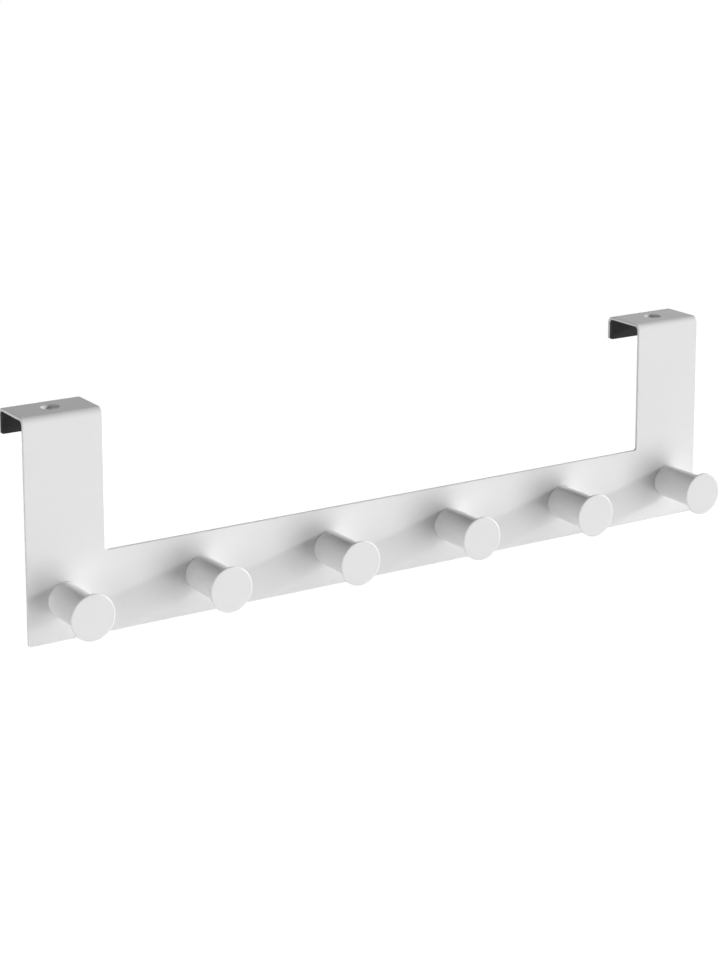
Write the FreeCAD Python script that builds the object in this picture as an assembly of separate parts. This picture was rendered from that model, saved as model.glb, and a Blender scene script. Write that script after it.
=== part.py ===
import FreeCAD
import Part
import math
import os

# Over door rack: one folded steel sheet that hooks over the top of a door, six turned pegs
# screwed to it from behind, and a foam pad inside each hook's lip.
# Millimetres. X runs along the rail, -Y is the room side where the pegs point, +Z is up.
# The origin lies midway between the two screw holes, on the plane of the door's top edge.

# Folded sheet
rack_width = 400.0
overall_height = 110.0
rail_height = 40.5
leg_width = 40.5
hook_depth = 27.0
lip_height = 12.6
sheet = 1.6
bend_inside = 2.0
rail_corner = 1.5
window_corner = 1.5
lip_corner = 0.8
edge_chamfer = 0.4

# Countersunk holes for screws down into the door's top edge
door_hole = 5.0
door_hole_mouth = 9.0
door_hole_land = 0.3

# Pegs
peg_count = 6
peg_from_end = 19.0
peg_length = 30.5
shaft_diameter = 17.2
head_diameter = 22.6
head_thickness = 1.0
head_chamfer = 0.4
shaft_chamfer = 0.5

# Screws that hold the pegs
screw_thread = 4.0
screw_length = 12.0
screw_hole_clearance = 0.15
screw_land = 0.3
screw_sunk = 0.1
tap_clearance = 0.05
tap_run_out = 1.5
recess_wall = 0.25
recess_width = 0.9
recess_depth = 1.0

# Foam pads
pad_thickness = 2.0
pad_side_inset = 0.1

# Places that follow from the sizes
front_face = -hook_depth / 2
rear_face = front_face + sheet
lip_outside = hook_depth / 2
lip_inside = lip_outside - sheet
top_face = sheet
rail_bottom = top_face - overall_height
rail_top = rail_bottom + rail_height
lip_bottom = top_face - lip_height
peg_height = rail_bottom + rail_height / 2
leg_middle = (rack_width - leg_width) / 2
first_peg = peg_from_end - rack_width / 2
peg_pitch = -2 * first_peg / (peg_count - 1)
peg_places = [first_peg + peg_pitch * number for number in range(peg_count)]
screw_head_height = sheet - screw_land - screw_sunk
screw_head_radius = screw_thread / 2 + screw_head_height

ALONG_X = FreeCAD.Vector(1, 0, 0)
ALONG_Y = FreeCAD.Vector(0, 1, 0)
ALONG_Z = FreeCAD.Vector(0, 0, 1)


def outline(corners, place):
    """Closed wire through corners of (across, up, radius), each rounded by a tangent arc."""
    points = [FreeCAD.Vector(across, up, 0) for across, up, radius in corners]
    arcs = []
    for number, (across, up, radius) in enumerate(corners):
        corner = points[number]
        back = (points[number - 1] - corner).normalize()
        ahead = (points[(number + 1) % len(points)] - corner).normalize()
        half_angle = back.getAngle(ahead) / 2
        if radius > 0:
            reach = radius / math.tan(half_angle)
            to_middle = radius / math.sin(half_angle) - radius
            middle = corner + (back + ahead).normalize() * to_middle
            arcs.append((corner + back * reach, middle, corner + ahead * reach))
        else:
            arcs.append((corner, None, corner))
    edges = []
    for number, (start, middle, end) in enumerate(arcs):
        last_end = arcs[number - 1][2]
        if last_end.distanceToPoint(start) > 1e-6:
            edges.append(Part.LineSegment(place(last_end), place(start)).toShape())
        if middle is not None:
            edges.append(Part.Arc(place(start), place(middle), place(end)).toShape())
    return Part.Wire(edges)


def seen_from_side(point):
    return FreeCAD.Vector(-rack_width / 2, point.x, point.y)


def seen_from_front(point):
    return FreeCAD.Vector(point.x, front_face - sheet, point.y)


def edges_along_y(shape, height):
    """Straight edges through the sheet's thickness at one height."""
    found = []
    for edge in shape.Edges:
        ends = [vertex.Point for vertex in edge.Vertexes]
        if len(ends) != 2 or abs(edge.Length - sheet) > 1e-4:
            continue
        if abs(abs(ends[0].y - ends[1].y) - sheet) > 1e-4:
            continue
        if abs(ends[0].z - height) < 1e-4:
            found.append(edge)
    return found


def square_edges(shape):
    """Edges where the sheet's skin meets its cut sides at a right angle."""
    found = []
    for edge in shape.Edges:
        faces = shape.ancestorsOfType(edge, Part.Face)
        if len(faces) != 2:
            continue
        middle = edge.valueAt((edge.FirstParameter + edge.LastParameter) / 2)
        normals = [face.normalAt(*face.Surface.parameter(middle)) for face in faces]
        if abs(normals[0].dot(normals[1])) < 1e-3:
            found.append(edge)
    return found


def countersunk_cutter(hole_radius, wide_radius, depth, reach):
    """Plain hole along Z from z = -reach to reach, with a cone that opens it out up to z = 0."""
    hole = Part.makeCylinder(hole_radius, 2 * reach, FreeCAD.Vector(0, 0, -reach))
    cone = Part.makeCone(hole_radius, wide_radius, depth, FreeCAD.Vector(0, 0, -depth))
    mouth = Part.makeCylinder(wide_radius, reach)
    return hole.fuse([cone, mouth])


def folded_sheet():
    """Side profile with its two bends, drawn across the whole width, then cut to a U."""
    bend_outside = bend_inside + sheet
    profile = outline([
        (front_face, rail_bottom, 0),
        (front_face, top_face, bend_outside),
        (lip_outside, top_face, bend_outside),
        (lip_outside, lip_bottom, 0),
        (lip_inside, lip_bottom, 0),
        (lip_inside, 0, bend_inside),
        (rear_face, 0, bend_inside),
        (rear_face, rail_bottom, 0),
    ], seen_from_side)
    body = Part.Face(profile).extrude(ALONG_X * rack_width)
    window_side = rack_width / 2 - leg_width
    window = outline([
        (-window_side, rail_top, window_corner),
        (window_side, rail_top, window_corner),
        (window_side, top_face + sheet, 0),
        (-window_side, top_face + sheet, 0),
    ], seen_from_front)
    body = body.cut(Part.Face(window).extrude(ALONG_Y * (hook_depth + 2 * sheet)))
    body = body.makeFillet(rail_corner, edges_along_y(body, rail_bottom))
    return body.makeFillet(lip_corner, edges_along_y(body, lip_bottom))


def hanger_plate(sheet_body):
    """The folded sheet with its sharp edges broken and its screw holes made."""
    plate = sheet_body.makeChamfer(edge_chamfer, square_edges(sheet_body))
    door_cutter = countersunk_cutter(
        door_hole / 2, door_hole_mouth / 2, sheet - door_hole_land, 2 * sheet)
    for side in (-1, 1):
        cutter = door_cutter.copy()
        cutter.translate(FreeCAD.Vector(side * leg_middle, 0, top_face))
        plate = plate.cut(cutter)
    peg_cutter = countersunk_cutter(
        screw_thread / 2 + screw_hole_clearance, screw_head_radius + screw_sunk,
        screw_head_height + screw_sunk - screw_hole_clearance, 2 * sheet)
    peg_cutter.rotate(FreeCAD.Vector(), ALONG_X, -90)
    for place in peg_places:
        cutter = peg_cutter.copy()
        cutter.translate(FreeCAD.Vector(place, rear_face, peg_height))
        plate = plate.cut(cutter)
    return plate


def peg():
    """Round peg turned with a thin wide head, standing on z = 0, tapped in its base."""
    shaft = shaft_diameter / 2
    head = head_diameter / 2
    profile = outline([
        (0, 0, 0),
        (shaft - shaft_chamfer, 0, 0),
        (shaft, shaft_chamfer, 0),
        (shaft, peg_length - head_thickness, 0),
        (head, peg_length - head_thickness, 0),
        (head, peg_length - head_chamfer, 0),
        (head - head_chamfer, peg_length, 0),
        (0, peg_length, 0),
    ], lambda point: FreeCAD.Vector(point.x, 0, point.y))
    body = Part.Face(profile).revolve(FreeCAD.Vector(), ALONG_Z, 360)
    tap_depth = screw_length - sheet + screw_sunk + tap_run_out
    tap_radius = screw_thread / 2 + tap_clearance
    return body.cut(Part.makeCylinder(tap_radius, tap_depth))


def peg_screw():
    """Countersunk cross-recess screw, head up, with its flat top on z = 0."""
    thread = screw_thread / 2
    profile = outline([
        (0, 0, 0),
        (screw_head_radius, 0, 0),
        (thread, -screw_head_height, 0),
        (thread, -screw_length, 0),
        (0, -screw_length, 0),
    ], lambda point: FreeCAD.Vector(point.x, 0, point.y))
    screw = Part.Face(profile).revolve(FreeCAD.Vector(), ALONG_Z, 360)
    slot_length = screw_thread - 2 * recess_wall
    for length, width in ((slot_length, recess_width), (recess_width, slot_length)):
        corner = FreeCAD.Vector(-length / 2, -width / 2, -recess_depth)
        screw = screw.cut(Part.makeBox(length, width, 2 * recess_depth, corner))
    return screw


def lip_pad(sheet_body, middle):
    """Foam strip that fills the lip's inner face up into the bend."""
    length = leg_width - 2 * pad_side_inset
    corner = FreeCAD.Vector(middle - length / 2, lip_inside - pad_thickness, lip_bottom)
    strip = Part.makeBox(length, pad_thickness, -lip_bottom, corner)
    lower_edges = []
    for edge in strip.Edges:
        if abs(edge.CenterOfMass.z - lip_bottom) < 1e-6 and abs(edge.tangentAt(0).y) > 0.9:
            lower_edges.append(edge)
    strip = strip.makeFillet(lip_corner, lower_edges)
    return strip.cut(sheet_body)


def place_on_rail(shape, quarter_turns, x, y):
    """Stand a shape made along Z on the rail, turned about X, at peg height."""
    placed = shape.copy()
    placed.rotate(FreeCAD.Vector(), ALONG_X, 90 * quarter_turns)
    placed.translate(FreeCAD.Vector(x, y, peg_height))
    return placed


def save(name, shape):
    shape.exportStep("parts/" + name + ".step")
    print(name, len(shape.Solids), "solid,", round(shape.Volume), "mm3, valid:", shape.isValid())


os.makedirs("parts", exist_ok=True)

blank = folded_sheet()
save("hanger_plate", hanger_plate(blank))

one_peg = peg()
for number, place in enumerate(peg_places, start=1):
    save("peg_" + str(number), place_on_rail(one_peg, 1, place, front_face))

one_screw = peg_screw()
screws = [place_on_rail(one_screw, -1, place, rear_face - screw_sunk) for place in peg_places]
save("peg_screws", Part.makeCompound(screws))

save("lip_pad_left", lip_pad(blank, -leg_middle))
save("lip_pad_right", lip_pad(blank, leg_middle))
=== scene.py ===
import math

import bpy
from mathutils import Matrix, Vector
from mathutils.geometry import delaunay_2d_cdt


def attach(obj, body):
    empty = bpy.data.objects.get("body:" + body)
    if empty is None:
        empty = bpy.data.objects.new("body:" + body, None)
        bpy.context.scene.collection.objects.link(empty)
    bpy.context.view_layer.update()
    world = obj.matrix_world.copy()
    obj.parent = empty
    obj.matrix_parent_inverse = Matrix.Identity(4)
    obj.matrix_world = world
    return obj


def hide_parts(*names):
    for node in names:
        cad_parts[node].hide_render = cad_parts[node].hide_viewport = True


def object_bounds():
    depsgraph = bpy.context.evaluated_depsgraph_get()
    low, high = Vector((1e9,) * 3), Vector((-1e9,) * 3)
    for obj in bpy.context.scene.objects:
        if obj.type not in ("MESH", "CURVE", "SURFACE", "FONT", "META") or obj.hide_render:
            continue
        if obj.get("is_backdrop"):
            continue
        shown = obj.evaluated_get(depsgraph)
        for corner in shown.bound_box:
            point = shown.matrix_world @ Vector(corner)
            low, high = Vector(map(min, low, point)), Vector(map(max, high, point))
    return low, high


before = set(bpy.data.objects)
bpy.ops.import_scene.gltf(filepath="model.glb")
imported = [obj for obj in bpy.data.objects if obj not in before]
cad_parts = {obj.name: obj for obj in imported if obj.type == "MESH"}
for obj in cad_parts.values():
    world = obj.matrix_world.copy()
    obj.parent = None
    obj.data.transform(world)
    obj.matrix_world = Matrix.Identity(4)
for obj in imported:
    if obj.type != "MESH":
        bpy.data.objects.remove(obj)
cad_low, cad_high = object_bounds()
MM = 0.001

# Hanger plate: one blank of sheet steel with rounded edges and countersunk screw holes, folded twice so
# that both legs hook over the top of a door. It is powder coated white after folding.
# Here the flat blank is meshed first, standing in the plane of the rail, and then folded like the real one.
rack_width = 400.0
rail_height = 40.5
leg_width = 40.5
sheet = 1.6
bend_inside = 2.0
edge_round = 0.5
rail_corner = 1.5
window_corner = 1.5
lip_corner = 0.8
rail_bottom = -108.4
front_face = -13.5
lip_bottom = -11.0
fold_start = -bend_inside
fold_middle = front_face + sheet + bend_inside
fold_radius = bend_inside + sheet / 2
fold_length = fold_radius * math.pi / 2
top_run = -2 * fold_middle
second_fold = fold_start + fold_length + top_run
blank_top = second_fold + fold_length + fold_start - lip_bottom
fold_steps = 12
leg_middle = (rack_width - leg_width) / 2
door_hole_height = fold_start + fold_length + top_run / 2
door_hole_radius = 2.5
door_hole_mouth = 4.5
door_hole_land = 0.3
peg_count = 6
peg_from_end = 19.0
peg_height = rail_bottom + rail_height / 2
peg_pitch = (rack_width - 2 * peg_from_end) / (peg_count - 1)
peg_places = [peg_from_end - rack_width / 2 + peg_pitch * number for number in range(peg_count)]
screw_hole_radius = 2.15
screw_hole_mouth = 3.3
screw_hole_cone = 1.15


def rounded(corners, steps, closed=True):
    """Points along a line with the normals on its right, each corner (a, b, radius) turned as an arc."""
    line = []
    for number, (a, b, radius) in enumerate(corners):
        here = Vector((a, b))
        before = here - Vector(corners[number - 1][:2])
        after = Vector(corners[(number + 1) % len(corners)][:2]) - here
        if not closed and number == 0:
            before = after
        if not closed and number == len(corners) - 1:
            after = before
        heading = math.atan2(before.y, before.x)
        turn = (math.atan2(after.y, after.x) - heading + math.pi) % math.tau - math.pi
        start = here - before.normalized() * radius * math.tan(abs(turn) / 2)
        for step in range(steps + 1 if radius and abs(turn) > 1e-6 else 1):
            angle = heading + turn * step / steps
            ahead = math.copysign(radius, turn) * (math.sin(angle) - math.sin(heading))
            aside = math.copysign(radius, turn) * (math.cos(heading) - math.cos(angle))
            line.append((start + Vector((ahead, aside)), Vector((math.sin(angle), -math.cos(angle)))))
    return line


def with_heights(loop, heights):
    """Adds points to the upright runs of a closed line wherever they pass one of the heights."""
    longer = []
    for number, (place, normal) in enumerate(loop):
        longer.append((place, normal))
        following = loop[(number + 1) % len(loop)][0]
        if abs(place.x - following.x) < 1e-6:
            low, high = sorted((place.y, following.y))
            passed = sorted((height for height in heights if low + 1e-6 < height < high - 1e-6),
                            reverse=following.y < place.y)
            longer += [(Vector((place.x, height)), normal) for height in passed]
    return longer


def rim_rings(loop, thickness, radius, steps=3):
    """Rings of (place, normal) down a cut edge: from one skin round to the wall and on to the other skin."""
    rings = []
    for side in (1, -1):
        for step in range(steps + 1):
            lift = math.pi / 2 * (1 - step / steps if side > 0 else step / steps) * side
            out, up = math.cos(lift), math.sin(lift)
            rings.append([((place + normal * radius * (out - 1)).to_3d()
                           + Vector((0, 0, side * (thickness / 2 - radius) + radius * up)),
                           (normal * out).to_3d() + Vector((0, 0, up))) for place, normal in loop])
    return rings


def hole_rings(centre, profile, segments, steps=3):
    """Rings of (place, normal) down a round hole, whose profile is (radius, depth, rounding) corners."""
    rings = []
    for place, normal in rounded(profile, steps, closed=False):
        ring = []
        for number in range(segments):
            angle = -math.tau * number / segments
            out = Vector((math.cos(angle), math.sin(angle), 0))
            ring.append((centre.to_3d() + out * place.x + Vector((0, 0, place.y)),
                         out * normal.x + Vector((0, 0, normal.y))))
        rings.append(ring)
    return rings


def join_rings(shell, rings):
    """Adds closed rings to a shell, quads from each to the next, and returns the first and last."""
    numbers = []
    for ring in rings:
        numbers.append([len(shell["places"]) + i for i in range(len(ring))])
        shell["places"] += [place for place, _ in ring]
        shell["normals"] += [normal for _, normal in ring]
    for upper, lower in zip(numbers, numbers[1:]):
        for i in range(len(upper)):
            j = (i + 1) % len(upper)
            shell["faces"].append((upper[i], lower[i], lower[j], upper[j]))
    return numbers[0], numbers[-1]


def fill_skin(shell, outer, holes, heights, flip):
    """Fills the flat skin inside an outer ring, around its holes, with an edge across at each height."""
    indices = list(outer) + [number for hole in holes for number in hole]
    local = {number: k for k, number in enumerate(indices)}
    flat = [shell["places"][number].to_2d() for number in indices]
    ties = []
    for height in heights:
        level = sorted((flat[local[number]].x, local[number]) for number in outer
                       if abs(flat[local[number]].y - height) < 1e-6)
        ties += [(level[k][1], level[k + 1][1]) for k in range(0, len(level) - 1, 2)]
    loops = [[local[number] for number in outer]]
    loops += [[local[number] for number in hole[::-1]] for hole in holes]
    _, _, triangles, sources, _, inside = delaunay_2d_cdt(flat, ties, loops, 0, 1e-6)
    for triangle, loops_around in zip(triangles, inside):
        if loops_around == [0]:
            corners = [indices[sources[k][0]] for k in triangle]
            shell["faces"].append(corners[::-1] if flip else corners)


def sheet_shell(loop, thickness, radius, holes, heights):
    """Closed shell of a flat sheet with rounded edges; places are (across, up, towards the front)."""
    shell = {"places": [], "normals": [], "faces": []}
    front, back = join_rings(shell, rim_rings(with_heights(loop, heights), thickness, radius))
    ends = [join_rings(shell, hole_rings(*hole)) for hole in holes]
    fill_skin(shell, front, [first for first, _ in ends], heights, False)
    fill_skin(shell, back, [last for _, last in ends], heights, True)
    return shell


def add(tree, kind, settings=None, values=None, links=None):
    """Adds one node: its settings, its input values, and links as {input: (node, output)}."""
    node = tree.nodes.new(kind)
    for name, value in (settings or {}).items():
        setattr(node, name, value)
    for name, value in (values or {}).items():
        node.inputs[name].default_value = value
    for name, (source, output) in (links or {}).items():
        tree.links.new(source.outputs[output], node.inputs[name])
    return node


def linear(hex_colour):
    """sRGB hex value to linear RGBA."""
    channels = [int(hex_colour[i:i + 2], 16) / 255 for i in (1, 3, 5)]
    return [c / 12.92 if c <= 0.04045 else ((c + 0.055) / 1.055) ** 2.4 for c in channels] + [1.0]


def new_material(name):
    material = bpy.data.materials.new(name)
    material.use_nodes = True
    material.node_tree.nodes.clear()
    return material, material.node_tree


def powder_coat(name, white, shade, peel_width, roughness):
    """Baked polyester powder: matt white, with the soft orange peel that the melted grains leave."""
    material, tree = new_material(name)
    place = add(tree, "ShaderNodeTexCoord")
    # The film is a little thinner in places, which drifts the white by about one part in a hundred.
    film = add(tree, "ShaderNodeTexNoise", values={"Scale": 1 / (45 * MM), "Detail": 2.0},
               links={"Vector": (place, "Object")})
    colour = add(tree, "ShaderNodeMix", {"data_type": "RGBA"}, links={"Factor": (film, "Fac")})
    colour.inputs["A"].default_value = linear(shade)
    colour.inputs["B"].default_value = linear(white)
    # Orange peel, a few hundredths of a millimetre high, over the grain of the powder itself. Real grains
    # are about 0.05 mm wide, and are drawn 0.35 mm wide so that they show.
    peel = add(tree, "ShaderNodeTexNoise", values={"Scale": 1 / (peel_width * MM), "Detail": 0.0},
               links={"Vector": (place, "Object")})
    grain = add(tree, "ShaderNodeTexNoise", values={"Scale": 1 / (0.35 * MM), "Detail": 1.0},
                links={"Vector": (place, "Object")})
    waves = add(tree, "ShaderNodeBump", values={"Strength": 1.0, "Distance": 0.02 * MM},
                links={"Height": (peel, "Fac")})
    bumps = add(tree, "ShaderNodeBump", values={"Strength": 1.0, "Distance": 0.003 * MM},
                links={"Height": (grain, "Fac"), "Normal": (waves, "Normal")})
    # Where the peel stands proud it is rubbed a touch smoother than in its hollows.
    rubbed = add(tree, "ShaderNodeMapRange", values={"To Min": roughness + 0.05, "To Max": roughness - 0.05},
                 links={"Value": (peel, "Fac")})
    # Bare resin has an IOR of about 1.5, and 1.3 gives the weaker gloss of this matted coat.
    surface = add(tree, "ShaderNodeBsdfPrincipled", values={"IOR": 1.3},
                  links={"Base Color": (colour, "Result"), "Roughness": (rubbed, "Result"),
                         "Normal": (bumps, "Normal")})
    add(tree, "ShaderNodeOutputMaterial", links={"Surface": (surface, "BSDF")})
    return material


def new_tree(name, sizes):
    """Starts a Geometry Nodes tree with a geometry input and named size inputs; returns it and its inputs."""
    tree = bpy.data.node_groups.new(name, "GeometryNodeTree")
    tree.interface.new_socket("Geometry", in_out="OUTPUT", socket_type="NodeSocketGeometry")
    tree.interface.new_socket("Geometry", in_out="INPUT", socket_type="NodeSocketGeometry")
    for label, value in sizes.items():
        kind = "NodeSocketInt" if isinstance(value, int) else "NodeSocketFloat"
        tree.interface.new_socket(label, in_out="INPUT", socket_type=kind)
    tree.interface.new_socket("Material", in_out="INPUT", socket_type="NodeSocketMaterial")
    return tree, add(tree, "NodeGroupInput")


def end_tree(tree, given, last):
    """Makes a tree's instances real and gives them the material input."""
    real = add(tree, "GeometryNodeRealizeInstances", links={"Geometry": (last, 0)})
    dressed = add(tree, "GeometryNodeSetMaterial",
                  links={"Geometry": (real, "Geometry"), "Material": (given, "Material")})
    add(tree, "NodeGroupOutput", links={"Geometry": (dressed, "Geometry")})


def grown(name, base, tree, sizes, material):
    """Runs a tree on a base mesh with its sizes and keeps the result as a plain mesh object."""
    piece = bpy.data.objects.new(name, base)
    bpy.context.scene.collection.objects.link(piece)
    modifier = piece.modifiers.new(tree.name, "NODES")
    modifier.node_group = tree
    for socket in tree.interface.items_tree:
        if socket.in_out == "INPUT" and socket.name != "Geometry":
            modifier[socket.identifier] = material if socket.name == "Material" else sizes[socket.name]
    graph = bpy.context.evaluated_depsgraph_get()
    piece.data = bpy.data.meshes.new_from_object(piece.evaluated_get(graph), depsgraph=graph)
    piece.data.name = name
    piece.modifiers.remove(modifier)
    return piece


fold_sizes = {"Top Fold": fold_start * MM, "Lip Fold": second_fold * MM, "Fold Middle": fold_middle * MM,
              "Fold Radius": fold_radius * MM}
fold_tree, given = new_tree("fold_over_door", fold_sizes)
place = add(fold_tree, "GeometryNodeInputPosition")
height = add(fold_tree, "ShaderNodeSeparateXYZ", links={0: (place, 0)})
fold_reach = add(fold_tree, "ShaderNodeMath", {"operation": "MULTIPLY"}, {1: math.pi / 2},
                 {0: (given, "Fold Radius")})
facing = add(fold_tree, "GeometryNodeInputNamedAttribute", {"data_type": "FLOAT_VECTOR"}, {"Name": "facing"})
spot, way = (place, 0), (facing, "Attribute")
# The lip's fold is made first and the top's second, which swings the lip over with the top.
for fold in ("Lip Fold", "Top Fold"):
    past = add(fold_tree, "ShaderNodeMath", {"operation": "SUBTRACT"},
               links={0: (height, "Z"), 1: (given, fold)})
    drawn_in = add(fold_tree, "ShaderNodeClamp", links={"Value": (past, 0), "Max": (fold_reach, 0)})
    angle = add(fold_tree, "ShaderNodeMath", {"operation": "DIVIDE"},
                links={0: (drawn_in, 0), 1: (given, "Fold Radius")})
    back = add(fold_tree, "ShaderNodeMath", {"operation": "MULTIPLY"}, {1: -1.0}, {0: (angle, 0)})
    slack = add(fold_tree, "ShaderNodeCombineXYZ", links={"Z": (drawn_in, 0)})
    drawn = add(fold_tree, "ShaderNodeVectorMath", {"operation": "SUBTRACT"},
                links={0: spot, 1: (slack, 0)})
    axis = add(fold_tree, "ShaderNodeCombineXYZ", links={"Y": (given, "Fold Middle"), "Z": (given, fold)})
    turned = add(fold_tree, "ShaderNodeVectorRotate", {"rotation_type": "X_AXIS"},
                 links={"Vector": (drawn, 0), "Center": (axis, 0), "Angle": (back, 0)})
    looked = add(fold_tree, "ShaderNodeVectorRotate", {"rotation_type": "X_AXIS"},
                 links={"Vector": way, "Angle": (back, 0)})
    spot, way = (turned, 0), (looked, 0)
kept = add(fold_tree, "GeometryNodeStoreNamedAttribute", {"data_type": "FLOAT_VECTOR", "domain": "POINT"},
           {"Name": "facing"}, {"Geometry": (given, "Geometry"), "Value": way})
folded = add(fold_tree, "GeometryNodeSetPosition", links={"Geometry": (kept, 0), "Position": spot})
end_tree(fold_tree, given, folded)

window_side = rack_width / 2 - leg_width
blank_loop = rounded([
    (-rack_width / 2, rail_bottom, rail_corner), (rack_width / 2, rail_bottom, rail_corner),
    (rack_width / 2, blank_top, lip_corner), (window_side, blank_top, lip_corner),
    (window_side, rail_bottom + rail_height, window_corner),
    (-window_side, rail_bottom + rail_height, window_corner),
    (-window_side, blank_top, lip_corner), (-rack_width / 2, blank_top, lip_corner)], 6)
# Each hole's half profile runs from the front or top skin to the other one: (radius, height, rounding).
door_hole = [
    (door_hole_mouth + 0.8, sheet / 2, 0), (door_hole_mouth, sheet / 2, 0.2),
    (door_hole_radius, door_hole_land - sheet / 2, 0.1), (door_hole_radius, -sheet / 2, 0.15),
    (door_hole_radius + 0.5, -sheet / 2, 0)]
screw_hole = [
    (screw_hole_radius + 0.45, sheet / 2, 0), (screw_hole_radius, sheet / 2, 0.15),
    (screw_hole_radius, screw_hole_cone - sheet / 2, 0.1), (screw_hole_mouth, -sheet / 2, 0.12),
    (screw_hole_mouth + 0.4, -sheet / 2, 0)]
blank_holes = [(Vector((side * leg_middle, door_hole_height)), door_hole, 48) for side in (-1, 1)]
blank_holes += [(Vector((across, peg_height)), screw_hole, 32) for across in peg_places]
fold_heights = [start + fold_length * step / fold_steps for start in (fold_start, second_fold)
                for step in range(fold_steps + 1)]
blank = sheet_shell(blank_loop, sheet, edge_round, blank_holes, fold_heights)
blank_mesh = bpy.data.meshes.new("blank")
blank_mesh.from_pydata(
    [(p.x * MM, (front_face + sheet / 2 - p.z) * MM, p.y * MM) for p in blank["places"]], [], blank["faces"])
blank_mesh.attributes.new("facing", "FLOAT_VECTOR", "POINT").data.foreach_set(
    "vector", [value for n in blank["normals"] for value in (n.x, -n.z, n.y)])
sheet_coat = powder_coat("powder_coated_sheet_steel", "#E1E1E1", "#DDDDDD", 1.3, 0.5)
plate = grown("hanger_plate_folded", blank_mesh, fold_tree, fold_sizes, sheet_coat)


def shade_by(mesh, attribute):
    """Shades a mesh by the true normals kept with its points, so that flats stay flat and edges turn."""
    normals = [tuple(item.vector) for item in mesh.attributes[attribute].data]
    mesh.attributes.remove(mesh.attributes[attribute])
    mesh.shade_smooth()
    mesh.normals_split_custom_set_from_vertices(normals)


shade_by(plate.data, "facing")
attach(plate, "root")
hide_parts("hanger_plate")

# Pegs: six pieces of steel bar turned with a thin wide head that keeps a coat hanger from slipping off.
# Each is screwed to the rail from behind and coated like the sheet.
shaft_radius = 8.6
head_radius = 11.3
peg_length = 30.5
head_thickness = 1.0
peg_sizes = {"Segments": 64, "Count": peg_count, "First": peg_places[0] * MM, "Pitch": peg_pitch * MM,
             "Depth": front_face * MM, "Height": peg_height * MM, "Turn": math.pi / 2}


def turned_profile(name, corners, steps, margin):
    """Edge-only mesh of half a turned part, with a point near each arc on its flats, so they shade flat."""
    line = []
    arcs = rounded(corners, steps, closed=False)
    for number, (place, normal) in enumerate(arcs):
        if number and (arcs[number - 1][0] - place).length > 3 * margin:
            run = (place - arcs[number - 1][0]).normalized() * margin
            line += [arcs[number - 1][0] + run, place - run]
        line.append(place)
    mesh = bpy.data.meshes.new(name)
    mesh.from_pydata([(p.x * MM, 0, p.y * MM) for p in line], [(i, i + 1) for i in range(len(line) - 1)], [])
    return mesh


def add_lathe(tree, given):
    """Turns the input profile about Z: a grid is rolled up, each of its rows lying at one profile point."""
    size = add(tree, "GeometryNodeAttributeDomainSize", links={"Geometry": (given, "Geometry")})
    round_count = add(tree, "ShaderNodeMath", {"operation": "ADD"}, {1: 1.0}, {0: (given, "Segments")})
    grid = add(tree, "GeometryNodeMeshGrid", values={"Size X": 1.0, "Size Y": 1.0},
               links={"Vertices X": (size, "Point Count"), "Vertices Y": (round_count, 0)})
    place = add(tree, "GeometryNodeInputPosition")
    split = add(tree, "ShaderNodeSeparateXYZ", links={0: (place, 0)})
    rows = add(tree, "ShaderNodeMath", {"operation": "SUBTRACT"}, {1: 1.0}, {0: (size, "Point Count")})
    along = add(tree, "ShaderNodeMath", {"operation": "ADD"}, {1: 0.5}, {0: (split, "X")})
    row = add(tree, "ShaderNodeMath", {"operation": "MULTIPLY"}, links={0: (along, 0), 1: (rows, 0)})
    whole = add(tree, "FunctionNodeFloatToInt", {"rounding_mode": "ROUND"}, links={0: (row, 0)})
    point = add(tree, "GeometryNodeSampleIndex", {"data_type": "FLOAT_VECTOR", "domain": "POINT"},
                links={"Geometry": (given, "Geometry"), "Value": (place, 0), "Index": (whole, 0)})
    angle = add(tree, "ShaderNodeMath", {"operation": "MULTIPLY"}, {1: -math.tau}, {0: (split, "Y")})
    rolled = add(tree, "ShaderNodeVectorRotate", {"rotation_type": "Z_AXIS"},
                 links={"Vector": (point, "Value"), "Angle": (angle, 0)})
    lathe = add(tree, "GeometryNodeSetPosition", links={"Geometry": (grid, "Mesh"), "Position": (rolled, 0)})
    return add(tree, "GeometryNodeMergeByDistance", values={"Distance": 0.002 * MM},
               links={"Geometry": (lathe, 0)})


def add_row_along_rail(tree, given, part):
    """Stands a part made along Z at each peg's place, turned to lie across the rail."""
    start = add(tree, "ShaderNodeCombineXYZ",
                links={"X": (given, "First"), "Y": (given, "Depth"), "Z": (given, "Height")})
    pitch = add(tree, "ShaderNodeCombineXYZ", links={"X": (given, "Pitch")})
    line = add(tree, "GeometryNodeMeshLine",
               links={"Count": (given, "Count"), "Start Location": (start, 0), "Offset": (pitch, 0)})
    turn = add(tree, "ShaderNodeCombineXYZ", links={"X": (given, "Turn")})
    return add(tree, "GeometryNodeInstanceOnPoints",
               links={"Points": (line, "Mesh"), "Instance": part, "Rotation": (turn, 0)})


peg_tree, given = new_tree("turned_pegs", peg_sizes)
turned_peg = add_lathe(peg_tree, given)
smooth_peg = add(peg_tree, "GeometryNodeSetShadeSmooth", links={0: (turned_peg, 0)})
end_tree(peg_tree, given, add_row_along_rail(peg_tree, given, (smooth_peg, 0)))
head_back = peg_length - head_thickness
peg_profile = turned_profile("peg_profile", [
    (0, 0, 0), (shaft_radius, 0, 0.5), (shaft_radius, head_back, 0.3), (head_radius, head_back, 0.25),
    (head_radius, peg_length, 0.65), (0, peg_length, 0)], 5, 0.12)
peg_coat = powder_coat("powder_coated_turned_pegs", "#E1E1E1", "#DEDEDE", 1.1, 0.45)
pegs = grown("turned_pegs", peg_profile, peg_tree, peg_sizes, peg_coat)
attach(pegs, "root")
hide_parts(*["peg_%d" % number for number in range(1, 7)])

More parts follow.
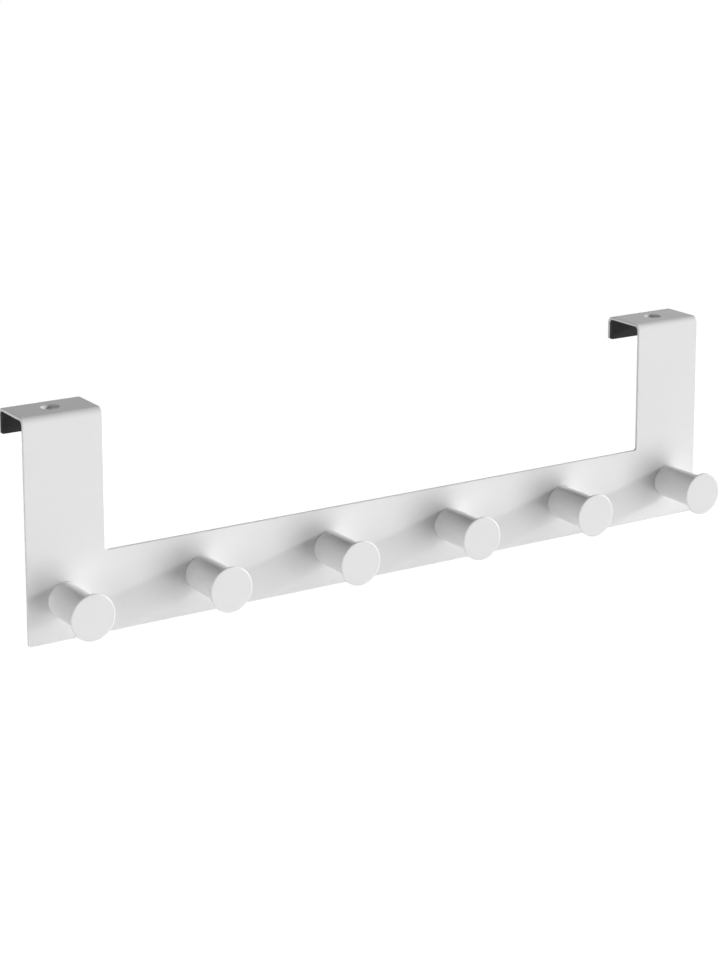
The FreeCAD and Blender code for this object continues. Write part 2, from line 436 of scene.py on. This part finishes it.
# Peg screws: M4 countersunk machine screws with a cross recess, bright zinc plated, driven through the
# rail from behind into the pegs. Their heads lie a tenth of a millimetre below the sheet's face.
screw_head_radius = 3.2
screw_head_height = 1.2
screw_thread = 2.0
screw_length = 12.0
screw_sunk = 0.1
screw_sizes = {"Segments": 40, "Count": peg_count, "First": peg_places[0] * MM, "Pitch": peg_pitch * MM,
               "Depth": (front_face + sheet - screw_sunk) * MM, "Height": peg_height * MM,
               "Turn": -math.pi / 2, "Recess Length": 3.7 * MM, "Recess Width": 0.9 * MM,
               "Recess Depth": 1.0 * MM}
screw_tree, given = new_tree("cross_recess_screws", screw_sizes)
turned_screw = add_lathe(screw_tree, given)
deep = add(screw_tree, "ShaderNodeMath", {"operation": "MULTIPLY"}, {1: 2.0}, {0: (given, "Recess Depth")})
# The recess has two crossed wings, which narrow towards the bottom as a driver's tip does.
place = add(screw_tree, "GeometryNodeInputPosition")
split = add(screw_tree, "ShaderNodeSeparateXYZ", links={0: (place, 0)})
narrow = add(screw_tree, "ShaderNodeMapRange",
             values={"From Min": -1.0 * MM, "From Max": 1.0 * MM, "To Min": 0.55, "To Max": 1.45},
             links={"Value": (split, "Z")})
scale = add(screw_tree, "ShaderNodeCombineXYZ", values={"Z": 1.0}, links={"X": (narrow, 0), "Y": (narrow, 0)})
tapered_place = add(screw_tree, "ShaderNodeVectorMath", {"operation": "MULTIPLY"},
                    links={0: (place, 0), 1: (scale, 0)})
cut_screw = turned_screw
for across, along in (("Recess Length", "Recess Width"), ("Recess Width", "Recess Length")):
    wing_size = add(screw_tree, "ShaderNodeCombineXYZ",
                    links={"X": (given, across), "Y": (given, along), "Z": (deep, 0)})
    wing = add(screw_tree, "GeometryNodeMeshCube", links={"Size": (wing_size, 0)})
    tapered = add(screw_tree, "GeometryNodeSetPosition",
                  links={"Geometry": (wing, "Mesh"), "Position": (tapered_place, 0)})
    cut_screw = add(screw_tree, "GeometryNodeMeshBoolean", {"operation": "DIFFERENCE", "solver": "EXACT"},
                    links={"Mesh 1": (cut_screw, 0), "Mesh 2": (tapered, 0)})
end_tree(screw_tree, given, add_row_along_rail(screw_tree, given, (cut_screw, "Mesh")))
screw_profile = turned_profile("screw_profile", [
    (0, -screw_length, 0), (screw_thread, -screw_length, 0.3), (screw_thread, -screw_head_height, 0.1),
    (screw_head_radius, 0, 0.1), (0, 0, 0)], 3, 0.05)


def zinc_plate(name):
    """Bright zinc: a cool grey metal whose thin blue passivation and fine turning marks keep it soft."""
    material, tree = new_material(name)
    place = add(tree, "ShaderNodeTexCoord")
    mottle = add(tree, "ShaderNodeTexNoise", values={"Scale": 1 / (2.5 * MM), "Detail": 2.0},
                 links={"Vector": (place, "Object")})
    colour = add(tree, "ShaderNodeMix", {"data_type": "RGBA"}, links={"Factor": (mottle, "Fac")})
    colour.inputs["A"].default_value = linear("#969A9F")
    colour.inputs["B"].default_value = linear("#AFB1B4")
    # Turning marks are a few hundredths of a millimetre apart, and are drawn coarser so that they show.
    marks = add(tree, "ShaderNodeTexNoise", values={"Scale": 1 / (0.25 * MM), "Detail": 3.0},
                links={"Vector": (place, "Object")})
    gloss = add(tree, "ShaderNodeMapRange", values={"To Min": 0.22, "To Max": 0.42},
                links={"Value": (marks, "Fac")})
    bump = add(tree, "ShaderNodeBump", values={"Strength": 0.6, "Distance": 0.004 * MM},
               links={"Height": (marks, "Fac")})
    surface = add(tree, "ShaderNodeBsdfPrincipled", values={"Metallic": 1.0},
                  links={"Base Color": (colour, "Result"), "Roughness": (gloss, "Result"),
                         "Normal": (bump, "Normal")})
    add(tree, "ShaderNodeOutputMaterial", links={"Surface": (surface, "BSDF")})
    return material


zinc = zinc_plate("bright_zinc_plate")
screws = grown("peg_screws_cross_recess", screw_profile, screw_tree, screw_sizes, zinc)
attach(screws, "root")
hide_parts("peg_screws")

# Foam pads: die-cut strips of black closed-cell EVA foam, 2 mm thick, stuck inside each lip with their own
# adhesive so that the hook neither rattles nor scratches the door. Their top is squeezed into the bend.
pad_thickness = 2.0
pad_width = 40.3
pad_top = -0.12
pad_round = 0.35
pad_top_corner = 0.5
lip_inside = -front_face - sheet
# The squeezed top gets an edge across at each of these heights, so that it curves smoothly.
pad_heights = [-0.6, -1.0, -1.4, -1.8, -2.0]


def closed_cell_foam(name):
    """Black EVA foam: a dry matt skin with pores of a few tenths of a millimetre."""
    material, tree = new_material(name)
    place = add(tree, "ShaderNodeTexCoord")
    cells = add(tree, "ShaderNodeTexVoronoi", values={"Scale": 1 / (0.45 * MM), "Randomness": 1.0},
                links={"Vector": (place, "Object")})
    tone = add(tree, "ShaderNodeTexNoise", values={"Scale": 1 / (6 * MM), "Detail": 3.0},
               links={"Vector": (place, "Object")})
    colour = add(tree, "ShaderNodeMix", {"data_type": "RGBA"}, links={"Factor": (tone, "Fac")})
    colour.inputs["A"].default_value = linear("#2C2C2D")
    colour.inputs["B"].default_value = linear("#3E3E3F")
    pores = add(tree, "ShaderNodeMapRange", values={"From Max": 0.7}, links={"Value": (cells, "Distance")})
    bump = add(tree, "ShaderNodeBump", {"invert": True}, {"Strength": 0.8, "Distance": 0.06 * MM},
               {"Height": (pores, "Result")})
    surface = add(tree, "ShaderNodeBsdfPrincipled", values={"Roughness": 0.9, "Specular IOR Level": 0.3},
                  links={"Base Color": (colour, "Result"), "Normal": (bump, "Normal")})
    add(tree, "ShaderNodeOutputMaterial", links={"Surface": (surface, "BSDF")})
    return material


foam = closed_cell_foam("black_eva_foam")
for side, middle in (("left", -leg_middle), ("right", leg_middle)):
    low, high = middle - pad_width / 2, middle + pad_width / 2
    pad_loop = rounded([(low, lip_bottom, lip_corner), (high, lip_bottom, lip_corner),
                        (high, pad_top, pad_top_corner), (low, pad_top, pad_top_corner)], 6)
    shell = sheet_shell(pad_loop, pad_thickness, pad_round, [], pad_heights)
    places = []
    for place in shell["places"]:
        into_bend = max(place.y - fold_start, 0)
        squeezed = math.sqrt(bend_inside ** 2 - into_bend ** 2) / bend_inside
        depth = lip_inside - pad_thickness + (pad_thickness / 2 - place.z) * squeezed
        places.append((place.x * MM, depth * MM, place.y * MM))
    mesh = bpy.data.meshes.new("foam_pad_" + side)
    mesh.from_pydata(places, [], shell["faces"])
    mesh.shade_smooth()
    mesh.normals_split_custom_set_from_vertices([(n.x, -n.z, n.y) for n in shell["normals"]])
    mesh.materials.append(foam)
    pad = bpy.data.objects.new("foam_pad_" + side, mesh)
    bpy.context.scene.collection.objects.link(pad)
    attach(pad, "root")
    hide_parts("lip_pad_" + side)

# Camera at the photograph's place: left of the rack and above it, looking right and slightly down.
photo_height = 960.0
focal_pixels = 2372.0
camera_yaw = math.radians(32.2451)
camera_pitch = math.radians(10.7659)
camera_roll = math.radians(0.0822)
camera_place = Vector((-0.62919, -0.98331, 0.28425))
camera_data = bpy.data.cameras.new("camera")
camera_data.lens = camera_data.sensor_width * focal_pixels / photo_height
camera_data.shift_y = -0.25
camera = bpy.data.objects.new("camera", camera_data)
bpy.context.scene.collection.objects.link(camera)
turn = (Matrix.Rotation(-camera_yaw, 4, "Z") @ Matrix.Rotation(math.pi / 2 - camera_pitch, 4, "X")
        @ Matrix.Rotation(-camera_roll, 4, "Z"))
camera.matrix_world = Matrix.Translation(camera_place) @ turn
bpy.context.scene.camera = camera

# Studio: a broad softbox in front, a little to the right and below. Two small far lamps on the right, nearly
# in line with the rail, draw the crisp edge of each peg's shadow. Lamps on the left and below light the pegs'
# near sides, and one behind lights the back. The room and the floor, far below, are white to the eye.
floor_drop = 1.9
floor_reach = 12.0
rack_middle = Vector((0, 0, -0.07))


def soft_lamp(name, off_normal, around, far, size, watts):
    """Square lamp seen from the rack at an angle off the rail's normal, turned round it from the right."""
    tilt, spin = math.radians(off_normal), math.radians(around)
    way = Vector((math.sin(tilt) * math.cos(spin), -math.cos(tilt), math.sin(tilt) * math.sin(spin)))
    data = bpy.data.lights.new(name, "AREA")
    data.size = size
    data.energy = watts
    lamp = bpy.data.objects.new(name, data)
    lamp.location = rack_middle + way * far
    lamp.rotation_euler = (-way).to_track_quat("-Z", "Y").to_euler()
    bpy.context.scene.collection.objects.link(lamp)


soft_lamp("front_softbox", 22, -15, 5.0, 3.2, 163.0)
soft_lamp("right_strip", 85, 14, 5.0, 0.3, 300.0)
soft_lamp("right_lamp", 70, 14, 5.0, 0.3, 10.0)
soft_lamp("left_lamp", 80, 180, 4.0, 2.0, 56.0)
soft_lamp("left_near_lamp", 60, 180, 1.5, 0.8, 3.8)
soft_lamp("low_lamp", 90, -75, 1.6, 1.0, 4.0)
soft_lamp("back_softbox", 150, -35, 4.0, 1.5, 70.0)

floor_corners = [(-1, -1), (1, -1), (1, 1), (-1, 1)]
floor_mesh = bpy.data.meshes.new("floor")
floor_mesh.from_pydata(
    [(across * floor_reach, along * floor_reach, cad_low.z - floor_drop) for across, along in floor_corners],
    [], [(0, 1, 2, 3)])
floor = bpy.data.objects.new("floor", floor_mesh)
bpy.context.scene.collection.objects.link(floor)


def seen_directly(tree):
    """1 for rays from the camera, from a reflection or through glass, and 0 for light falling on things."""
    path = add(tree, "ShaderNodeLightPath")
    glossy = add(tree, "ShaderNodeMath", {"operation": "MAXIMUM"},
                 links={0: (path, "Is Camera Ray"), 1: (path, "Is Glossy Ray")})
    return add(tree, "ShaderNodeMath", {"operation": "MAXIMUM"},
               links={0: (glossy, 0), 1: (path, "Is Transmission Ray")})


# Floor paint: matt pale grey to the light, nearly white to the eye, and still taking a tenth of a shadow.
floor_paint, tree = new_material("pale_matt_floor_paint")
seen = seen_directly(tree)
share = add(tree, "ShaderNodeMath", {"operation": "MULTIPLY"}, {1: 0.9}, {0: (seen, 0)})
paint = add(tree, "ShaderNodeBsdfDiffuse", values={"Color": (0.6, 0.6, 0.6, 1.0)})
glow = add(tree, "ShaderNodeEmission", values={"Color": (1.0, 1.0, 1.0, 1.0), "Strength": 1.12})
mix = add(tree, "ShaderNodeMixShader", links={0: (share, 0), 1: (paint, "BSDF"), 2: (glow, "Emission")})
add(tree, "ShaderNodeOutputMaterial", links={"Surface": (mix, "Shader")})
floor_mesh.materials.append(floor_paint)
floor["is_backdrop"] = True

world = bpy.data.worlds.new("studio")
bpy.context.scene.world = world
world.use_nodes = True
tree = world.node_tree
tree.nodes.clear()
seen = seen_directly(tree)
room = add(tree, "ShaderNodeBackground", values={"Color": (1.0, 1.0, 1.0, 1.0), "Strength": 0.065})
white = add(tree, "ShaderNodeBackground", values={"Color": (1.0, 1.0, 1.0, 1.0), "Strength": 1.0})
mix = add(tree, "ShaderNodeMixShader",
          links={0: (seen, 0), 1: (room, "Background"), 2: (white, "Background")})
add(tree, "ShaderNodeOutputWorld", links={"Surface": (mix, "Shader")})

bpy.context.scene.view_settings.view_transform = "Standard"

low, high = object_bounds()
